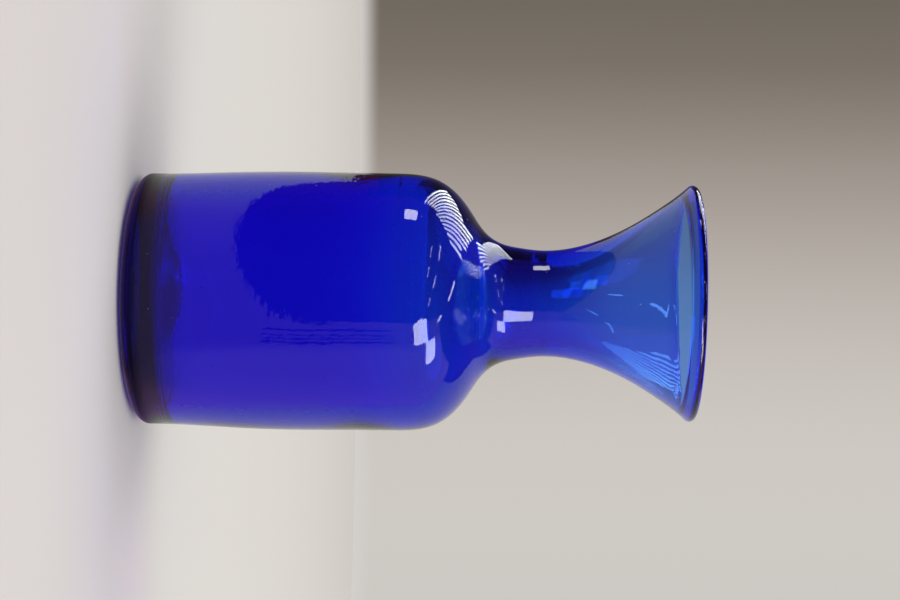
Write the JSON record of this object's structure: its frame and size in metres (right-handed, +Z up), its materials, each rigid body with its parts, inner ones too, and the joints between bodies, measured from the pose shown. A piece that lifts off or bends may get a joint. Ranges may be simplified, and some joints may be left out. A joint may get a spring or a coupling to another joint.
{
  "type": "glass vase",
  "caption": "One-piece blown-glass vase: thick solid foot, upright body, rounded shoulder, narrow neck and flared trumpet mouth with a fire-polished lip.",
  "frame": {"origin": "centre of the foot, on the plane that the vase stands on", "axes": "+Z up along the vase's axis of revolution, from the foot to the mouth"},
  "size_m": [0.1114, 0.1114, 0.24],
  "materials": {
    "cobalt_glass": "clear deep-blue glass, fire-polished"
  },
  "bodies": {
    "root": {"glass_vase": "cobalt_glass"}
  },
  "joints": []
}
